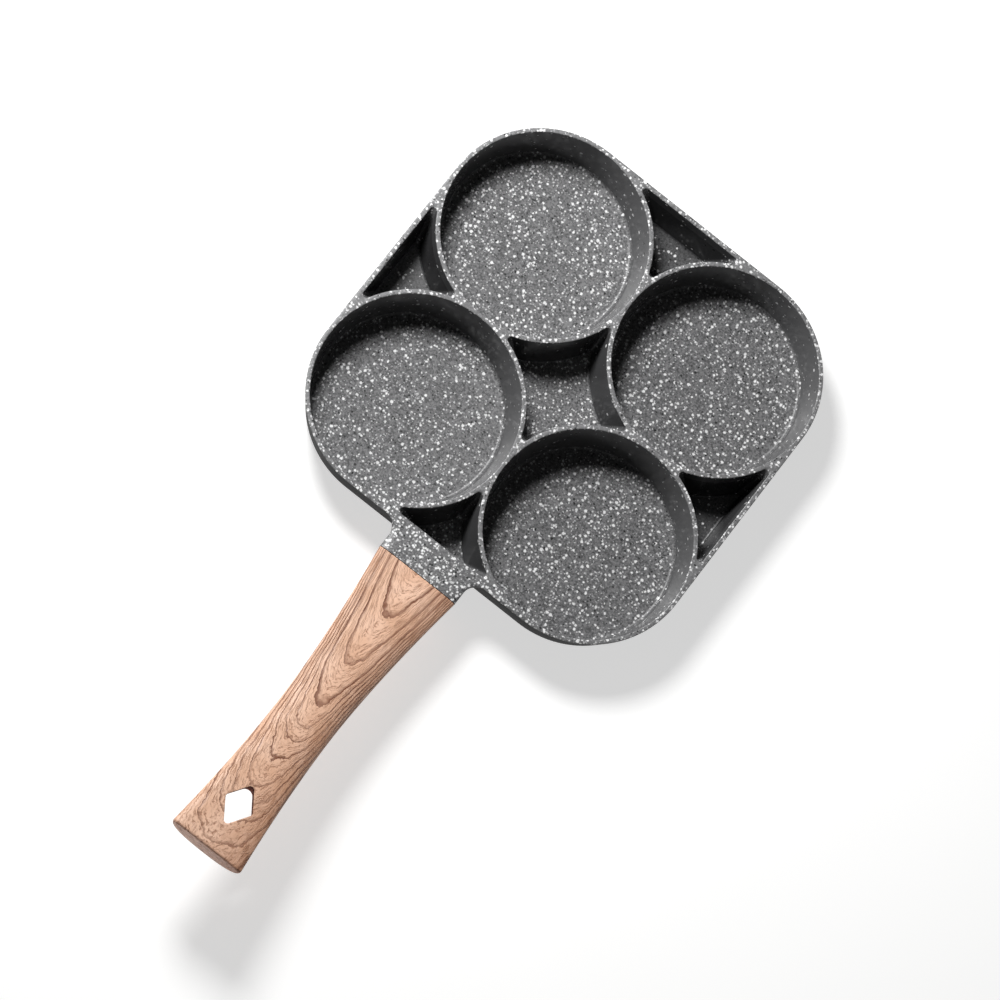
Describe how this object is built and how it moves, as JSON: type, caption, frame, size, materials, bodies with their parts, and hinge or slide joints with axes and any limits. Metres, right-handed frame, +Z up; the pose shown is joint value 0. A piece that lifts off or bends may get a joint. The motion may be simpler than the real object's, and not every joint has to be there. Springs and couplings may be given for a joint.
{
  "type": "frying_pan",
  "caption": "Square cast frying pan with round cups for eggs or pancakes, speckled non-stick coating and a wood-look handle with a hanging hole",
  "frame": {"origin": "centre of the flat underside of the pan, midway between the cups", "axes": "+Z up out of the cups, handle along -Y, +X to the right seen from the handle"},
  "size_m": [0.1902, 0.3571, 0.0459],
  "materials": {
    "nonstick_coating": "speckled grey non-stick coating on cast aluminium",
    "wood_print": "moulded phenolic with a printed wood grain",
    "steel": "zinc-plated steel"
  },
  "bodies": {
    "root": {"pan_body": "nonstick_coating", "handle": "wood_print", "flat_washer": "steel", "spring_washer": "steel", "handle_screw": "steel"}
  },
  "joints": []
}
